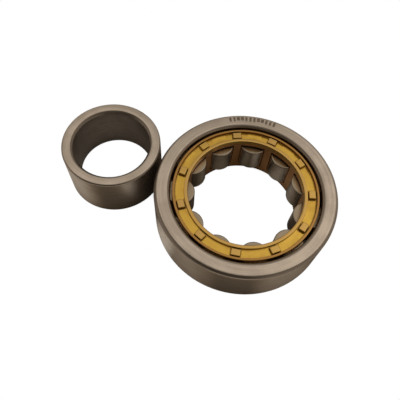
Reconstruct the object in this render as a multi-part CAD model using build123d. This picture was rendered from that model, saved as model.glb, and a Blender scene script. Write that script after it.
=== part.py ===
from build123d import *
import os

# Single-row cylindrical roller bearing with a plain, separable inner ring. All sizes are in
# millimetres. The origin is the bearing's centre, on its axis and half way across its width.
# +Z runs along the axis, and the riveted side of the cage faces +Z. The inner ring is drawn
# out of the bearing and lies flat beside it, towards -X, on the surface that both rest on.

# Boundary dimensions of the bearing
outside_diameter = 40.0
bore_diameter = 17.0
width = 12.0
seat_chamfer = 0.6            # on the end edges of both seats

# Roller set
roller_count = 11
roller_diameter = 6.5
roller_corner = 0.3           # radius between a roller's side and its ends
pitch_offset = 0.06           # pitch circle outside the middle of bore and outside radius
first_roller_angle = 1.2      # degrees from +X

# Clearances between the rollers and the rings
raceway_clearance = 0.01      # radial, at each raceway
rib_clearance = 0.02          # axial, at each rib

# Outer ring
rib_width = 2.73              # a rib along the axis, from the ring's face to the rollers
rib_height = 1.07             # a rib above the outer raceway
rib_chamfer = 0.55            # between a rib's bore and the ring's face
relief_width = 0.5            # grinding relief in each corner of the outer raceway
relief_depth = 0.15

# Inner ring
lead_chamfer = 0.3            # on the edges of the inner raceway
ring_gap = 0.93               # between the loose inner ring and the outer ring's seat

# Cage
cage_rib_clearance = 0.45     # radial, between the cage and the ribs
cage_depth_inside = 1.6       # from the pitch circle in to the bore of the cage
cage_setback = 0.64           # the cage's faces below the ring's faces
cage_chamfer = 0.15
pocket_clearance = 0.1        # radial, around each roller
pocket_end_clearance = 0.45   # axial, at each end of a roller

# Riveted joint between the two cage pieces
outer_rim = 0.55              # land outside the annular recess of the side ring
inner_rim = 0.75              # land inside it
recess_depth = 0.7
tenon_width = 1.25            # round the ring
head_width = 2.0              # round the ring, after riveting
head_gap = 0.27               # radial, between a head and the walls of the recess
head_overhang = 0.1           # radial, a head past its tenon at each end
head_round = 0.15
slot_clearance = 0.03         # around a tenon in its slot

# Radii and heights that follow from the sizes above
outside_radius = outside_diameter / 2
bore_radius = bore_diameter / 2
half_width = width / 2
roller_radius = roller_diameter / 2
pitch_radius = (outside_radius + bore_radius) / 2 + pitch_offset
outer_raceway_radius = pitch_radius + roller_radius + raceway_clearance
inner_raceway_radius = pitch_radius - roller_radius - raceway_clearance
raceway_half_width = half_width - rib_width
roller_length = 2 * (raceway_half_width - rib_clearance)
rib_radius = outer_raceway_radius - rib_height

cage_outer_radius = rib_radius - cage_rib_clearance
cage_inner_radius = pitch_radius - cage_depth_inside
cage_half_width = half_width - cage_setback
pocket_radius = roller_radius + pocket_clearance
pocket_half_length = roller_length / 2 + pocket_end_clearance

recess_outer_radius = cage_outer_radius - outer_rim
recess_inner_radius = cage_inner_radius + inner_rim
recess_floor = cage_half_width - recess_depth
tenon_radius = (recess_outer_radius + recess_inner_radius) / 2
head_length = recess_outer_radius - recess_inner_radius - 2 * head_gap
tenon_length = head_length - 2 * head_overhang

roller_pitch = 360 / roller_count
roller_angles = [first_roller_angle + index * roller_pitch for index in range(roller_count)]
tenon_angles = [angle + roller_pitch / 2 for angle in roller_angles]
loose_ring_distance = outside_radius + ring_gap + inner_raceway_radius


def turned(upper_half):
    """Turn a section about the axis. Its (radius, height) points run round the upper half,
    from the bore to the outside, and the lower half mirrors them."""
    lower_half = [(radius, -height) for radius, height in reversed(upper_half)]
    outline = Polyline([(radius, 0, height) for radius, height in upper_half + lower_half], close=True)
    return revolve(make_face(outline), Axis.Z)


def tube(outer_radius, inner_radius, bottom, top):
    """A plain ring about the axis between two heights."""
    middle = (bottom + top) / 2
    height = top - bottom
    return Pos(0, 0, middle) * (Cylinder(outer_radius, height) - Cylinder(inner_radius, height))


def around(shape, angles, radius):
    """Copies of a shape at one radius from the axis, one at each angle."""
    return [Rot(0, 0, angle) * Pos(radius, 0, 0) * shape for angle in angles]


def block(length, breadth, bottom, top):
    """A block on the +Z axis between two heights, with its length along the radius."""
    return Pos(0, 0, (bottom + top) / 2) * Box(length, breadth, top - bottom)


def make_outer_ring():
    """Ring with a ground seat outside and two ribs that guide the rollers between them."""
    relief_radius = outer_raceway_radius + relief_depth
    return turned([
        (outer_raceway_radius, raceway_half_width - relief_width),
        (relief_radius, raceway_half_width - relief_width),
        (relief_radius, raceway_half_width),
        (rib_radius, raceway_half_width),
        (rib_radius, half_width - rib_chamfer),
        (rib_radius + rib_chamfer, half_width),
        (outside_radius - seat_chamfer, half_width),
        (outside_radius, half_width - seat_chamfer),
    ])


def make_inner_ring():
    """Plain ring without ribs, whose outside is the whole inner raceway."""
    return turned([
        (bore_radius, half_width - seat_chamfer),
        (bore_radius + seat_chamfer, half_width),
        (inner_raceway_radius - lead_chamfer, half_width),
        (inner_raceway_radius, half_width - lead_chamfer),
    ])


def make_roller():
    """Solid roller with rounded corners, on its own axis."""
    blank = Cylinder(roller_radius, roller_length)
    return fillet(blank.edges().filter_by(GeomType.CIRCLE), roller_corner)


def make_tenon():
    """Tenon on the end of a cage bar, with its head upset over the floor of the recess."""
    shank = block(tenon_length, tenon_width, pocket_half_length, recess_floor)
    head = block(head_length, head_width, recess_floor, cage_half_width)
    head = fillet(head.edges().group_by(Axis.Z)[-1], head_round)
    return shank + head


def make_cage_body():
    """Comb of bars on one closed ring, bored from the open end, with a tenon on each bar."""
    body = tube(cage_outer_radius, cage_inner_radius, -cage_half_width, pocket_half_length)
    body = chamfer(body.edges().group_by(Axis.Z)[0], cage_chamfer)
    pocket = Cylinder(pocket_radius, 2 * pocket_half_length)
    for cutter in around(pocket, roller_angles, pitch_radius):
        body -= cutter
    for tenon in around(make_tenon(), tenon_angles, tenon_radius):
        body += tenon
    return body


def make_cage_side_ring():
    """Ring that closes the comb, with a slot for each tenon in the floor of its recess."""
    ring = tube(cage_outer_radius, cage_inner_radius, pocket_half_length, cage_half_width)
    ring = chamfer(ring.edges().group_by(Axis.Z)[-1], cage_chamfer)
    ring -= tube(recess_outer_radius, recess_inner_radius, recess_floor, cage_half_width)
    slot_length = tenon_length + 2 * slot_clearance
    slot_width = tenon_width + 2 * slot_clearance
    slot = block(slot_length, slot_width, pocket_half_length, recess_floor)
    for cutter in around(slot, tenon_angles, tenon_radius):
        ring -= cutter
    return ring


nodes = {
    "outer_ring": make_outer_ring(),
    "inner_ring": Pos(-loose_ring_distance, 0, 0) * make_inner_ring(),
    "cage_body": make_cage_body(),
    "cage_side_ring": make_cage_side_ring(),
}
for number, roller in enumerate(around(make_roller(), roller_angles, pitch_radius), start=1):
    nodes[f"roller_{number:02d}"] = roller

os.makedirs("parts", exist_ok=True)
for name, shape in nodes.items():
    export_step(shape, f"parts/{name}.step")
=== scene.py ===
from math import acos, atan2, cos, radians, sin, tau

import bmesh
import bpy
from mathutils import Matrix, Vector


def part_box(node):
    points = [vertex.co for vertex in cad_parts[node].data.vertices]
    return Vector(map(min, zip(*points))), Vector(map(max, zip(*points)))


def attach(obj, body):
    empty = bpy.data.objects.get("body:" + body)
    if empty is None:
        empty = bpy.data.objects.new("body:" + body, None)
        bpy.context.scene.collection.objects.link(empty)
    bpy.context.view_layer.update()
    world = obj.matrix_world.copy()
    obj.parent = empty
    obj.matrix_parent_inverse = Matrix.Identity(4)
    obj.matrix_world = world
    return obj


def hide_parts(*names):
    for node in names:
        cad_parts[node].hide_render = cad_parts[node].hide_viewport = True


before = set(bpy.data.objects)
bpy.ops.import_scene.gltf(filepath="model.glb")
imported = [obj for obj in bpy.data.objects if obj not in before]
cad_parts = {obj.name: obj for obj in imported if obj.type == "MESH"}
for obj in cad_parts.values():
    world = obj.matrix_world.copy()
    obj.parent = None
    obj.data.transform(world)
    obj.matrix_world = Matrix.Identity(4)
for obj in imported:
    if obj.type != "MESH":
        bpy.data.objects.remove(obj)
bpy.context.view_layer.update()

# Outer ring. One ring of hardened bearing steel, turned from a forging, with a rib at each side that
# guides the rollers. Its faces, seat and raceway are ground, and a row of plain bars is etched into
# the far part of one face.
mm = 0.001
ring_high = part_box("outer_ring")[1] / mm
outside_radius = ring_high.x
half_width = ring_high.z
seat_chamfer = 0.6
rib_radius = 16.5
rib_chamfer = 0.55
raceway_radius = 17.57
raceway_half_width = 3.27
relief_width = 0.5
relief_depth = 0.15
rib_easing = 0.36
seat_easing = 0.22
ring_steps = 256
weld_distance = 0.002

steel_bright = (0.63, 0.575, 0.525)
steel_dull = (0.50, 0.45, 0.405)
steel_turned = (0.35, 0.305, 0.265)
steel_skin = (0.29, 0.25, 0.215)
etch_colour = (0.16, 0.125, 0.10)
steel_roughness = 0.32
steel_relief = 0.0022
etch_from = radians(86)
etch_pitch = radians(2.9)
etch_count = 12
etch_low, etch_high = 17.95, 19.15


def section(shape, corners):
    """Draw a closed section from (radius, height, easing) corners, and round each corner by its easing."""
    points = [shape.verts.new((radius, 0, height)) for radius, height, _ in corners]
    shape.faces.new(points)
    for point, (_, _, easing) in zip(points, corners):
        if easing:
            bmesh.ops.bevel(shape, geom=[point], offset=easing, offset_type="OFFSET", segments=4,
                            profile=0.5, affect="VERTICES", material=-1)
    bmesh.ops.delete(shape, geom=shape.faces[:], context="FACES_ONLY")


def turn(shape, angle=tau, steps=ring_steps):
    """Turn what is drawn about the bearing's axis, and close the seam of a full turn."""
    bmesh.ops.spin(shape, geom=shape.verts[:] + shape.edges[:], cent=(0, 0, 0), axis=(0, 0, 1),
                   dvec=(0, 0, 0), angle=angle, steps=steps, use_merge=angle == tau, use_duplicate=False)


def mirrored(upper):
    """The corners of an upper half, run on through the same corners below the middle."""
    return upper + [(radius, -height, easing) for radius, height, easing in reversed(upper)]


def close(shape):
    """Weld the seams and poles, and point every face outwards."""
    bmesh.ops.remove_doubles(shape, verts=shape.verts, dist=weld_distance)
    bmesh.ops.recalc_face_normals(shape, faces=shape.faces)


def piece(shape, name, *finishes):
    """Make an object in metres, at the origin, from a closed shape in millimetres."""
    bmesh.ops.scale(shape, vec=(mm, mm, mm), verts=shape.verts)
    mesh = bpy.data.meshes.new(name)
    shape.to_mesh(mesh)
    shape.free()
    mesh.shade_smooth()
    for finish in finishes:
        mesh.materials.append(finish)
    made = bpy.data.objects.new(name, mesh)
    bpy.context.scene.collection.objects.link(made)
    made.modifiers.new("WeightedNormal", "WEIGHTED_NORMAL").weight = 100
    return made


class Signal:
    """A value that varies over a surface. Arithmetic on it adds the Math nodes that work it out."""

    def __init__(self, recipe, socket):
        self.recipe = recipe
        self.socket = socket

    def other(self, name):
        """Another output of the same node."""
        return Signal(self.recipe, self.socket.node.outputs[name])

    def math(self, operation, *values):
        return self.recipe.node("ShaderNodeMath", {"operation": operation}, dict(enumerate(values)))

    def __add__(self, other):
        return self.math("ADD", self, other)

    def __radd__(self, other):
        return self.math("ADD", other, self)

    def __sub__(self, other):
        return self.math("SUBTRACT", self, other)

    def __rsub__(self, other):
        return self.math("SUBTRACT", other, self)

    def __mul__(self, other):
        return self.math("MULTIPLY", self, other)

    def __rmul__(self, other):
        return self.math("MULTIPLY", other, self)

    def __truediv__(self, other):
        return self.math("DIVIDE", self, other)

    def __rtruediv__(self, other):
        return self.math("DIVIDE", other, self)

    def __pow__(self, other):
        return self.math("POWER", self, other)

    def __mod__(self, other):
        return self.math("FLOORED_MODULO", self, other)

    def __abs__(self):
        return self.math("ABSOLUTE", self)

    def rise(self, low, high):
        """0 up to low, 1 from high on, and smooth in between. It falls where low is above high."""
        return self.recipe.node("ShaderNodeMapRange", {"interpolation_type": "SMOOTHSTEP"},
                                {"Value": self, "From Min": low, "From Max": high})

    def near(self, place, reach):
        """1 at one value, falling smoothly to 0 at a reach to each side."""
        return abs(self - place).rise(reach, 0)


class Recipe:
    """The nodes of one finish, or of the room's light."""

    def __init__(self, tree):
        self.tree = tree
        tree.nodes.clear()

    def node(self, kind, settings, inputs):
        """Add a node and give back its first output. Its settings come before its sockets."""
        made = self.tree.nodes.new(kind)
        for name, value in settings.items():
            setattr(made, name, value)
        sockets = {socket.identifier: socket for socket in made.inputs}
        for key, value in inputs.items():
            socket = made.inputs[key] if isinstance(key, int) else sockets[key]
            if isinstance(value, Signal):
                self.tree.links.new(value.socket, socket)
            elif isinstance(value, tuple) and socket.type == "RGBA":
                socket.default_value = (*value, 1)
            else:
                socket.default_value = value
        if made.outputs:
            return Signal(self, next(socket for socket in made.outputs if socket.enabled))

    def place(self, centre=(0, 0, 0)):
        """The point's x, y and z in millimetres from a centre that is given in millimetres."""
        point = self.node("ShaderNodeTexCoord", {}, {}).other("Object")
        moved = self.node("ShaderNodeMapping", {}, {"Vector": point, "Scale": (1 / mm, 1 / mm, 1 / mm),
                                                    "Location": tuple(-part for part in centre)})
        x = self.node("ShaderNodeSeparateXYZ", {}, {"Vector": moved})
        return x, x.other("Y"), x.other("Z")

    def vector(self, x, y, z):
        return self.node("ShaderNodeCombineXYZ", {}, {"X": x, "Y": y, "Z": z})

    def blend(self, factor, first, second):
        """A colour between two colours."""
        return self.node("ShaderNodeMix", {"data_type": "RGBA"},
                         {"Factor_Float": factor, "A_Color": first, "B_Color": second})

    def cloud(self, point, scale, detail=3.0, rough=0.55):
        """Soft uneven noise from 0 to 1 at a number of blotches per millimetre."""
        return self.node("ShaderNodeTexNoise", {}, {"Vector": point, "Scale": scale, "Detail": detail,
                                                    "Roughness": rough})

    def tool_marks(self, x, y, z, radius, lines_per_mm, drift, detail=2.0):
        """Fine lines that run round the axis: rings on a face, and hoops on a bore or a seat."""
        point = self.vector(radius * lines_per_mm, z * lines_per_mm, x / radius * drift)
        return self.node("ShaderNodeTexNoise", {"noise_dimensions": "4D"},
                         {"Vector": point, "W": y / radius * drift, "Scale": 1.0, "Detail": detail,
                          "Roughness": 0.6})

    def metal(self, colour, roughness, height, depth):
        """Finish the recipe with a metal surface whose relief is depth millimetres deep."""
        relief = self.node("ShaderNodeBump", {},
                           {"Strength": 1.0, "Distance": depth * mm, "Height": height})
        surface = self.node("ShaderNodeBsdfPrincipled", {},
                            {"Base Color": colour, "Metallic": 1.0, "Roughness": roughness,
                             "Normal": relief})
        self.node("ShaderNodeOutputMaterial", {}, {"Surface": surface})


def new_finish(name):
    """A new material, with the recipe that its nodes go into."""
    material = bpy.data.materials.new(name)
    material.use_nodes = True
    return material, Recipe(material.node_tree)


def ring_steel(name, centre, ground_radii, marked=False):
    """Ground bearing steel with fine hoops left by the wheel, dull blotches of oil and a few dark
    nicks. The edges that are only turned keep the dull skin of hardening."""
    material, recipe = new_finish(name)
    x, y, z = recipe.place(centre)
    radius = (x * x + y * y) ** 0.5
    fine = recipe.tool_marks(x, y, z, radius, 9.0, 2.5, 4.0)
    broad = recipe.tool_marks(x, y, z, radius, 2.0, 0.8)
    oil = recipe.cloud(recipe.vector(x, y, z), 0.22, 4.0)
    pores = recipe.cloud(recipe.vector(x, y, z), 6.0, 2.0)
    ground = abs(z).rise(half_width - 0.12, half_width - 0.02)
    for ground_radius in ground_radii:
        ground = ground.math("MAXIMUM", ground, radius.near(ground_radius, 0.12).rise(0.0, 0.9))
    dull = (oil - 0.42) * 1.6 + (fine - 0.5) * 1.6 + (broad - 0.5) * 1.2 + 0.35
    colour = recipe.blend(dull.rise(0, 1), steel_bright, steel_dull)
    off_rib_edge = abs(radius - rib_radius - rib_chamfer / 2).rise(0.5, 1.5)
    skin = recipe.blend(off_rib_edge, steel_turned, steel_skin)
    colour = recipe.blend(ground, skin, colour)
    roughness = steel_roughness + (oil - 0.5) * 0.18 + (fine - 0.5) * 0.16 + (broad - 0.5) * 0.10
    nicks = pores.rise(0.70, 0.78) * oil.rise(0.45, 0.6)
    colour = recipe.blend(nicks * 0.6, colour, etch_colour)
    height = fine * 0.6 + broad * 0.5 + pores * 0.25 - nicks * 1.5
    if marked:
        count = (y.math("ARCTAN2", y, x) - etch_from) / etch_pitch
        wide = ((count / 5) % 1.0).rise(0.58, 0.60)
        bars = (abs((count % 1.0) - 0.5) - wide * 0.12).rise(0.32, 0.20)
        low = etch_low + wide * 0.2
        row = count.rise(0, 0.02) * count.rise(etch_count + 0.02, etch_count)
        band = (radius - low).rise(-0.04, 0.04) * radius.rise(etch_high + 0.04, etch_high - 0.04)
        uneven = recipe.cloud(recipe.vector(x, y, z), 3.0, 3.0).rise(0.3, 0.6)
        mark = bars * row * band * z.rise(half_width - 0.1, half_width - 0.05) * (0.6 + 0.4 * uneven)
        colour = recipe.blend(mark * 0.9, colour, etch_colour)
        roughness = roughness + mark * 0.25
        height = height - mark * 2.0
    recipe.metal(colour, roughness, height, steel_relief)
    return material


ring_shape = bmesh.new()
section(ring_shape, mirrored([
    (raceway_radius, raceway_half_width - relief_width, 0.05),
    (raceway_radius + relief_depth, raceway_half_width - relief_width + relief_depth, 0.08),
    (raceway_radius + relief_depth, raceway_half_width, 0.08),
    (rib_radius, raceway_half_width, 0.10),
    (rib_radius, half_width - rib_chamfer, rib_easing),
    (rib_radius + rib_chamfer, half_width, rib_easing),
    (outside_radius - seat_chamfer, half_width, seat_easing),
    (outside_radius, half_width - seat_chamfer, seat_easing),
]))
turn(ring_shape)
close(ring_shape)
outer_finish = ring_steel("outer_ring_steel", (0, 0, 0), (outside_radius, raceway_radius), marked=True)
outer_ring = piece(ring_shape, "outer_ring_turning", outer_finish)
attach(outer_ring, "outer_ring")
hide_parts("outer_ring")

# Rollers. Eleven solid rollers of hardened bearing steel, ground and lapped to a mirror on the side,
# with flat ground ends and rounded corners. Each lies loose in a pocket of the cage.
roller_names = sorted(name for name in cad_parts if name.startswith("roller_"))
roller_count = len(roller_names)
roller_corner = 0.3
roller_sides = 72
roller_roughness = 0.22
roller_relief = 0.0018
roller_low, roller_high = (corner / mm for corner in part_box(roller_names[0]))
roller_centre = (roller_low + roller_high) / 2
roller_radius = (roller_high.x - roller_low.x) / 2
roller_length = roller_high.z - roller_low.z
pitch_radius = roller_centre.xy.length
first_angle = atan2(roller_centre.y, roller_centre.x)
roller_pitch = tau / roller_count

lapped_colour = (0.60, 0.545, 0.475)
hazed_colour = (0.42, 0.37, 0.315)
# Darker partly for the ground finish of the ends and partly as painted shade under the cage's side ring.
end_colour_and_shade = (0.33, 0.28, 0.21)


def fold(recipe, x, y, first):
    """The point as it lies about the nearest of the evenly spaced places round the cage: its distance
    outwards and sideways from the bearing's axis, along that place's own radius."""
    radius = (x * x + y * y) ** 0.5
    angle = y.math("ARCTAN2", y, x)
    aside = (((angle - first) / roller_pitch + 0.5) % 1.0 - 0.5) * roller_pitch
    return radius * aside.math("COSINE", aside), radius * aside.math("SINE", aside), radius


def roller_steel():
    """Lapped steel on the side, with faint hoops, and a spiral of grinding marks on each end. The ends
    are darker, partly for their ground finish and partly as painted shade from the cage's side ring.
    """
    material, recipe = new_finish("roller_steel_lapped")
    x, y, z = recipe.place()
    out, aside, _ = fold(recipe, x, y, first_angle)
    out = out - pitch_radius
    own_radius = (out * out + aside * aside) ** 0.5
    hoops = recipe.tool_marks(out, aside, z, own_radius, 8.0, 0.9, 3.0)
    smear = recipe.cloud(recipe.vector(x, y, z), 0.5, 4.0)
    end = abs(z).rise(roller_length / 2 - 0.05, roller_length / 2 - 0.01)
    haze = (smear - 0.4) * 1.7 + (hoops - 0.5) * 1.0
    colour = recipe.blend(haze.rise(0, 1), lapped_colour, hazed_colour)
    # The ends take the darker colour, partly for their finish and partly as painted shade from the side
    # ring.
    colour = recipe.blend(end * 0.75, colour, end_colour_and_shade)
    roughness = roller_roughness + end * 0.10 + (smear - 0.5) * 0.14 + (hoops - 0.5) * 0.06
    recipe.metal(colour, roughness, hoops * (0.35 + end * 0.8), roller_relief)
    return material


roller_finish = roller_steel()
for name in roller_names:
    low, high = (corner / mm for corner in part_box(name))
    roller_shape = bmesh.new()
    bmesh.ops.create_cone(roller_shape, cap_ends=True, cap_tris=False, segments=roller_sides,
                          radius1=roller_radius, radius2=roller_radius, depth=roller_length,
                          matrix=Matrix.Translation((low + high) / 2))
    rims = [edge for edge in roller_shape.edges if edge.calc_face_angle_signed() > radians(45)]
    bmesh.ops.bevel(roller_shape, geom=rims, offset=roller_corner, offset_type="OFFSET", segments=5,
                    profile=0.5, affect="EDGES", material=-1)
    close(roller_shape)
    roller = piece(roller_shape, f"{name}_ground", roller_finish)
    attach(roller, name)
    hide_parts(name)

# Cage body. A comb machined from one brass ring: a closed ring below, and eleven bars whose hollow
# sides follow the rollers. A square tenon on each bar goes through the side ring and is riveted over.
cage_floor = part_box("cage_body")[0].z / mm
side_low, side_high = (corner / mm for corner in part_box("cage_side_ring"))
cage_outer = side_high.x
cage_inner = 12.71
pocket_clearance = 0.1
pocket_end_clearance = 0.45
pocket_radius = roller_radius + pocket_clearance
pocket_floor = -roller_length / 2 - pocket_end_clearance
joint_height = side_low.z
cage_top = side_high.z
recess_depth = 0.7
recess_floor = cage_top - recess_depth
tenon_radius = 14.48
tenon_length, tenon_width = 1.3, 1.25
head_length, head_width = 1.5, 2.0
head_round = 0.16
shank_sunk = 0.3
shank_overlap = 0.1
cage_chamfer = 0.15
edge_break = 0.07
level_within = 0.01

outer_rim = 0.55
inner_rim = 0.75
recess_outer = cage_outer - outer_rim
recess_inner = cage_inner + inner_rim
tenon_first = first_angle + roller_pitch / 2

brass_bright = (0.77, 0.52, 0.105)
brass_warm = (0.66, 0.40, 0.085)
brass_tan = (0.67, 0.45, 0.16)
brass_rim = (0.48, 0.28, 0.095)
brass_wall = (0.66, 0.37, 0.17)
# Dark brown for tarnish and for painted shade in the corners, on the walls and round the heads.
brass_crust_and_shade = (0.17, 0.075, 0.025)
brass_roughness = 0.29
brass_relief = 0.0026


def brass(name):
    """Turned brass: bright on the recess floor, which was faced last, duller on the rims and walls,
    and browned in the corners, on the walls and, some more than others, round the riveted heads,
    partly as tarnish and partly as painted shade, more so lower down."""
    material, recipe = new_finish(name)
    x, y, z = recipe.place()
    out, aside, radius = fold(recipe, x, y, tenon_first)
    fine = recipe.tool_marks(x, y, z, radius, 6.0, 1.2, 3.0)
    broad = recipe.tool_marks(x, y, z, radius, 1.6, 0.6)
    tarnish = recipe.cloud(recipe.vector(x, y, z), 0.35, 5.0, 0.6)
    specks = recipe.cloud(recipe.vector(x, y, z), 3.5, 3.0)
    warm = (tarnish - 0.42) * 2.0 + (fine - 0.5) * 1.3 + (broad - 0.5) * 0.7 + (specks - 0.5) * 0.7
    colour = recipe.blend(warm.rise(0, 1), brass_bright, brass_warm)
    raised = z.rise(recess_floor + 0.1, recess_floor + 0.3)
    outer_land = radius.rise(recess_outer - 0.12, recess_outer)
    outer_land = outer_land * z.rise(recess_floor + 0.02, recess_floor + 0.3)
    inner_land = radius.rise(recess_inner + 0.05, recess_inner - 0.1) * raised
    below = z.rise(recess_floor - 0.02, recess_floor - 0.3)
    side_wall = (1 - z.rise(cage_top - 0.2, cage_top - 0.12)) * raised
    past_length = abs(out - tenon_radius) - head_length / 2
    past_width = abs(aside) - head_width / 2
    past_head = past_length.math("MAXIMUM", past_length, past_width)
    head = past_head.rise(0.02, -0.1) * raised
    number = ((y.math("ARCTAN2", y, x) - tenon_first) / roller_pitch + 0.5) % roller_count
    own = recipe.node("ShaderNodeTexWhiteNoise", {"noise_dimensions": "1D"},
                      {"W": number.math("FLOOR", number)})
    colour = recipe.blend(inner_land * 0.9, colour, brass_tan)
    colour = recipe.blend(head * (0.5 + 0.5 * own), colour, brass_tan)
    colour = recipe.blend(outer_land, colour, brass_rim)
    colour = recipe.blend(below, colour, brass_wall)
    # Tarnish and painted shade: the recess corners, the walls and the edges round each head darken towards
    # the crust colour, fading out towards the top.
    ragged = (specks - 0.5) * 0.25 + (tarnish - 0.5) * 0.2
    outer_crust_and_shade = (radius - recess_outer + ragged).rise(-0.34, -0.02)
    inner_crust_and_shade = 0.3 * (recess_inner - radius + ragged).rise(-0.2, 0)
    in_recess = radius.rise(recess_inner - 0.05, recess_inner)
    in_recess = in_recess * radius.rise(recess_outer + 0.05, recess_outer)
    # Tarnish and painted shade along the recess walls.
    corner = (outer_crust_and_shade + inner_crust_and_shade) * in_recess * 0.6
    head_crust_and_shade = (past_head - ragged).near(0.0, 0.30) * (0.3 + 0.6 * own)
    crust_and_shade = corner.math("MAXIMUM", corner, head_crust_and_shade) * z.rise(cage_top - 0.08, cage_top - 0.3)
    wall_crust_and_shade = side_wall * 0.35 * radius.rise(recess_inner + 0.1, recess_inner + 0.3)
    crust_and_shade = crust_and_shade.math("MAXIMUM", crust_and_shade, wall_crust_and_shade) * (1 - below)
    colour = recipe.blend(crust_and_shade, colour, brass_crust_and_shade)
    roughness = brass_roughness + (tarnish - 0.5) * 0.18 + (fine - 0.5) * 0.12 + crust_and_shade * 0.25 + below * 0.08
    height = fine * 0.8 + broad * 0.4 + specks * 0.5
    recipe.metal(colour, roughness, height, brass_relief)
    return material


def reach(radius):
    """The angle from a pocket's own centre line to where its wall meets a circle about the axis."""
    return acos((radius ** 2 + pitch_radius ** 2 - pocket_radius ** 2) / (2 * radius * pitch_radius))


def about(angle, radius, height=0.0):
    """The point at an angle and a radius from the bearing's axis."""
    return Vector((radius * cos(angle), radius * sin(angle), height))


def plate(shape, start, *arcs):
    """Draw a flat face from a starting point, as arcs that run on from each other. Each arc is its
    (centre, angle, steps)."""
    before = set(shape.edges)
    first = corner = shape.verts.new(start)
    for centre, angle, steps in arcs:
        swept = bmesh.ops.spin(shape, geom=[corner], cent=centre, axis=(0, 0, 1), dvec=(0, 0, 0),
                               angle=angle, steps=steps, use_merge=False, use_duplicate=False)
        corner = next(part for part in swept["geom_last"] if isinstance(part, bmesh.types.BMVert))
    bmesh.ops.pointmerge(shape, verts=[first, corner], merge_co=start)
    bmesh.ops.contextual_create(shape, geom=[edge for edge in shape.edges if edge not in before])


def repeat_round(shape):
    """Repeat what is drawn for one roller at every roller, and weld the copies."""
    bmesh.ops.spin(shape, geom=shape.verts[:] + shape.edges[:] + shape.faces[:], cent=(0, 0, 0),
                   axis=(0, 0, 1), dvec=(0, 0, 0), angle=tau - roller_pitch, steps=roller_count - 1,
                   use_merge=False, use_duplicate=True)
    close(shape)


def raise_faces(shape, faces, height):
    """Extrude faces along the axis."""
    grown = bmesh.ops.extrude_face_region(shape, geom=faces)["geom"]
    corners = [part for part in grown if isinstance(part, bmesh.types.BMVert)]
    bmesh.ops.translate(shape, vec=(0, 0, height), verts=corners)


def ease(shape, edges, size, segments=2):
    """Break a set of edges."""
    bmesh.ops.bevel(shape, geom=edges, offset=size, offset_type="OFFSET", segments=segments,
                    profile=0.5, affect="EDGES", material=-1)


def sharp(shape):
    """The edges where a shape turns a corner outwards."""
    return [edge for edge in shape.edges if edge.calc_face_angle_signed() > radians(35)]


def block(shape, angle, length, breadth, bottom, top):
    """A block in a tenon's place, with its length along the radius."""
    middle = Matrix.Translation(about(angle, tenon_radius, (bottom + top) / 2))
    size = Matrix.Diagonal((length, breadth, top - bottom, 1))
    turned = Matrix.Rotation(angle, 4, "Z")
    return bmesh.ops.create_cube(shape, size=1, matrix=middle @ turned @ size)["verts"]


cage_shape = bmesh.new()
axis = (0, 0, pocket_floor)
next_middle = about(first_angle + roller_pitch, pitch_radius, pocket_floor)
own_middle = about(first_angle, pitch_radius, pocket_floor)
bar_start = about(first_angle + reach(cage_inner), cage_inner, pocket_floor)
bar_outer_start = about(first_angle + reach(cage_outer), cage_outer, pocket_floor)
pocket_start = about(first_angle + roller_pitch - reach(cage_inner), cage_inner, pocket_floor)
wall_angle = (bar_start - own_middle).angle(bar_outer_start - own_middle)
wall_steps = 14
own_wall = (own_middle, -wall_angle, wall_steps)
next_wall = (next_middle, -wall_angle, wall_steps)
plate(cage_shape, bar_start,
      own_wall, (axis, roller_pitch - 2 * reach(cage_outer), 5),
      next_wall, (axis, 2 * reach(cage_inner) - roller_pitch, 4))
plate(cage_shape, pocket_start,
      (axis, 2 * reach(cage_inner), 12), next_wall, (axis, -2 * reach(cage_outer), 11), next_wall)
repeat_round(cage_shape)
raise_faces(cage_shape, cage_shape.faces[:], cage_floor - pocket_floor)
at_pocket_floor = [face for face in cage_shape.faces
                   if abs(face.calc_center_median().z - pocket_floor) < level_within]
bars = sorted(at_pocket_floor, key=lambda face: face.calc_area())[:roller_count]
raise_faces(cage_shape, bars, joint_height - pocket_floor)
bmesh.ops.delete(cage_shape, geom=bars, context="FACES_ONLY")
bmesh.ops.recalc_face_normals(cage_shape, faces=cage_shape.faces)
bottom_edges = [edge for edge in sharp(cage_shape)
                if max(end.co.z for end in edge.verts) < cage_floor + level_within]
ease(cage_shape, bottom_edges, cage_chamfer, 3)
ease(cage_shape, sharp(cage_shape), edge_break)
for number in range(roller_count):
    angle = tenon_first + number * roller_pitch
    block(cage_shape, angle, tenon_length, tenon_width,
          joint_height - shank_sunk, recess_floor + shank_overlap)
    head = block(cage_shape, angle, head_length, head_width, recess_floor, cage_top)
    top_edges = {edge for vert in head for edge in vert.link_edges
                 if max(end.co.z for end in edge.verts) > cage_top - level_within}
    ease(cage_shape, list(top_edges), head_round, 4)
bmesh.ops.recalc_face_normals(cage_shape, faces=cage_shape.faces)
brass_finish = brass("cage_brass_turned")
cage_body = piece(cage_shape, "cage_body_comb", brass_finish)
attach(cage_body, "cage")
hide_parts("cage_body")

# Cage side ring. A turned brass ring that closes the pockets. Its recess takes the riveted heads, and
# a slot in the recess floor lets each tenon through.
slot_clearance = 0.03
recess_edge = 0.05
recess_corner = 0.06
side_steps = 24

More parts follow.
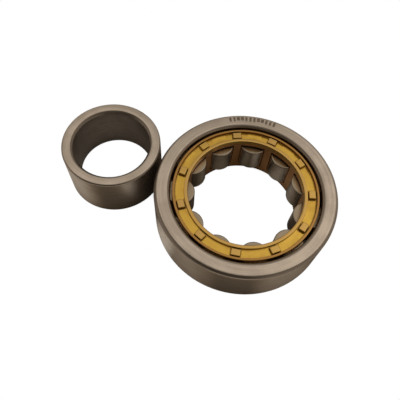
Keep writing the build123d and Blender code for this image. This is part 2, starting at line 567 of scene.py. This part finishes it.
side_shape = bmesh.new()
section(side_shape, [
    (cage_inner, joint_height, edge_break),
    (cage_outer, joint_height, edge_break),
    (cage_outer, cage_top, cage_chamfer),
    (recess_outer, cage_top, recess_edge),
    (recess_outer, recess_floor, recess_corner),
    (recess_inner, recess_floor, recess_corner),
    (recess_inner, cage_top, recess_edge),
    (cage_inner, cage_top, cage_chamfer),
])
bmesh.ops.rotate(side_shape, cent=(0, 0, 0), matrix=Matrix.Rotation(first_angle, 3, "Z"),
                 verts=side_shape.verts)
turn(side_shape, roller_pitch, side_steps)
outwards = about(tenon_first, 1.0)
sideways = about(tenon_first + tau / 4, 1.0)
slot_middle = outwards * tenon_radius
slot_half_length = tenon_length / 2 + slot_clearance
slot_half_width = tenon_width / 2 + slot_clearance


def flat_faces(shape):
    """The faces of the recess floor and of the underside that lie across the slot's place."""
    return [face for face in shape.faces if abs(face.normal.z) > 0.99
            and face.calc_center_median().z < recess_floor + level_within]


for direction, half_size in ((sideways, slot_half_width), (outwards, slot_half_length)):
    for side in (-1, 1):
        flat = flat_faces(side_shape)
        parts = flat + list({edge for face in flat for edge in face.edges})
        parts += list({vert for face in flat for vert in face.verts})
        bmesh.ops.bisect_plane(side_shape, geom=parts, dist=0.0001, plane_no=direction,
                               plane_co=slot_middle + direction * side * half_size)
inside = [face for face in flat_faces(side_shape)
          if abs((face.calc_center_median() - slot_middle).dot(outwards)) < slot_half_length
          and abs((face.calc_center_median() - slot_middle).dot(sideways)) < slot_half_width]
around_slot = [edge for edge in {edge for face in inside for edge in face.edges}
               if sum(face in inside for face in edge.link_faces) == 1]
bmesh.ops.delete(side_shape, geom=inside, context="FACES_KEEP_BOUNDARY")
bmesh.ops.bridge_loops(side_shape, edges=around_slot)
repeat_round(side_shape)
side_ring = piece(side_shape, "cage_side_ring_turning", brass_finish)
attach(side_ring, "cage")
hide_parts("cage_side_ring")

# Inner ring. One plain ring of the same steel, without ribs. Its whole outside is the raceway. It has
# been drawn out of the bearing, and lies flat beside it.
inner_low, inner_high = (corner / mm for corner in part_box("inner_ring"))
inner_centre = (inner_low + inner_high) / 2
inner_raceway = (inner_high.x - inner_low.x) / 2
bore_radius = 8.5
bore_chamfer = 0.6
bore_easing = 0.2
lead_chamfer = 0.3
lead_easing = 0.1

inner_shape = bmesh.new()
section(inner_shape, mirrored([
    (bore_radius, half_width - bore_chamfer, bore_easing),
    (bore_radius + bore_chamfer, half_width, bore_easing),
    (inner_raceway - lead_chamfer, half_width, lead_easing),
    (inner_raceway, half_width - lead_chamfer, lead_easing),
]))
turn(inner_shape)
close(inner_shape)
bmesh.ops.translate(inner_shape, vec=inner_centre, verts=inner_shape.verts)
inner_finish = ring_steel("inner_ring_steel", inner_centre, (bore_radius, inner_raceway))
inner_ring = piece(inner_shape, "inner_ring_turning", inner_finish)
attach(inner_ring, "inner_ring")
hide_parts("inner_ring")

# Floor. A plain pale sheet that is lit to white. It falls into shade where the metal pinches it, and
# what the metal mirrors of it is dim and warm, with a few soft pools of light, and brighter far out.
floor_half_side = 2000
shade_reach = 20
pinch_reach = 5
floor_base = 0.12
floor_far = 0.42
rings_middle, rings_spread = -11.5, 1.4
far_from, far_to = 26, 46

floor_shape = bmesh.new()
bmesh.ops.create_grid(floor_shape, x_segments=1, y_segments=1, size=floor_half_side,
                      matrix=Matrix.Translation((0, 0, -half_width)))
floor_finish, recipe = new_finish("pale_floor")
x, y, _ = recipe.place()
open_sky = recipe.node("ShaderNodeAmbientOcclusion", {"samples": 8},
                       {"Distance": shade_reach * mm}).other("AO")
not_pinched = recipe.node("ShaderNodeAmbientOcclusion", {"samples": 16},
                          {"Distance": pinch_reach * mm}).other("AO")
seen_colour = recipe.blend(not_pinched.rise(0.08, 0.25), (0.0, 0.0, 0.0), (1.0, 1.0, 1.0))
white = recipe.node("ShaderNodeEmission", {}, {"Color": seen_colour, "Strength": 1.0})


def pool(centre_x, centre_y, reach):
    """A soft round pool of light on the floor: 1 at its centre, falling to 0 at its reach."""
    return ((x - centre_x) ** 2 + (y - centre_y) ** 2).rise(reach ** 2, 0)


dim = floor_base + 0.75 * pool(-16, -13, 6.5) + 0.24 * pool(-12, -19, 14) + 0.22 * pool(18, -15, 11)
dim = dim + 0.42 * pool(7, 9, 9) + 0.17 * pool(-8, 7, 8)
dim = dim + 0.36 * pool(-33, 1, 12) + 0.42 * pool(-42, -9, 13)
squared_distance = ((x - rings_middle) / rings_spread) ** 2 + y ** 2
dim = dim + floor_far * squared_distance.rise(far_from ** 2, far_to ** 2)
tint = recipe.blend(dim.rise(0.1, 0.7), (1.0, 0.77, 0.54), (1.0, 0.88, 0.73))
mirrored_colour = recipe.node("ShaderNodeVectorMath", {"operation": "SCALE"},
                              {"Vector": tint, "Scale": dim * open_sky.rise(0.1, 1.0)})
mirrored_floor = recipe.node("ShaderNodeEmission", {}, {"Color": mirrored_colour, "Strength": 1.0})
seen = recipe.node("ShaderNodeLightPath", {}, {}).other("Is Camera Ray")
both = recipe.node("ShaderNodeMixShader", {}, {0: seen, 1: mirrored_floor, 2: white})
recipe.node("ShaderNodeOutputMaterial", {}, {"Surface": both})
floor = piece(floor_shape, "floor", floor_finish)

# Room light. A soft, slightly warm sky without lamps. It is brightest overhead, with a window high to
# the right and a weaker one to the left, and it is darkest low in front, where the camera stands.
world = bpy.data.worlds.new("studio")
world.use_nodes = True
bpy.context.scene.world = world
recipe = Recipe(world.node_tree)
direction = recipe.node("ShaderNodeTexCoord", {}, {}).other("Generated")
right = recipe.node("ShaderNodeSeparateXYZ", {}, {"Vector": direction})
away = right.other("Y")
up = right.other("Z")
window = 0.44 * right.rise(-0.15, 0.25) * up.rise(0.5, 0.8) * (1 - 0.65 * up.rise(0.84, 0.95))
second_window = (0.10 + 0.20 * up.rise(0.76, 0.86)) * right.rise(-0.18, -0.36) * up.rise(0.5, 0.8)
shade = 0.18 * up.rise(0.91, 0.94) * right.rise(-0.08, 0.06) + 0.12 * right.near(-0.21, 0.1)
front = away.rise(0.4, -0.3)
overhead = 0.08 + 0.68 * up.rise(0.60, 0.95) + window + second_window - shade
overhead = overhead * (1 - front * (0.94 - 0.5 * up.rise(0.8, 0.9)))
sector = front * abs(right).rise(0.72, 0.5)
low = 0.07 + 0.42 * up.rise(0.40, 0.24) * (1 - 0.8 * sector)
middle_band = 0.34 * up.near(0.5, 0.3) * (1 - sector) + 0.26 * up.near(0.64, 0.14) * sector
level = low + up.rise(0.1, 0.7) * (overhead - low) + middle_band
room_tint = (1.0, 0.87, 0.71)
tinted = recipe.node("ShaderNodeVectorMath", {"operation": "SCALE"}, {"Vector": room_tint, "Scale": level})
soft = recipe.node("ShaderNodeBackground", {}, {"Color": tinted, "Strength": 1.0})
white = recipe.node("ShaderNodeBackground", {}, {"Color": (1, 1, 1), "Strength": 1.0})
seen = recipe.node("ShaderNodeLightPath", {}, {}).other("Is Camera Ray")
both = recipe.node("ShaderNodeMixShader", {}, {0: seen, 1: soft, 2: white})
recipe.node("ShaderNodeOutputWorld", {}, {"Surface": both})

# Camera. A hand-held view from in front and well above, tilted a little clockwise.
camera_data = bpy.data.cameras.new("camera")
camera = bpy.data.objects.new("camera", camera_data)
bpy.context.scene.collection.objects.link(camera)
azimuth, elevation, roll = radians(15.90), radians(62.81), radians(5.03)
target = Vector((-9.233, -3.24, 0)) * mm
distance = 102.876 * mm
back = Vector((sin(azimuth) * cos(elevation), -cos(azimuth) * cos(elevation), sin(elevation)))
camera.location = target + back * distance
aim = (-back).to_track_quat("-Z", "Y").to_matrix()
camera.rotation_euler = (aim @ Matrix.Rotation(roll, 3, "Z")).to_euler()
camera_data.lens = 40.9
camera_data.sensor_width = 36
camera_data.clip_start = 0.001
camera_data.clip_end = 10
bpy.context.scene.camera = camera
bpy.context.scene.view_settings.view_transform = "Standard"
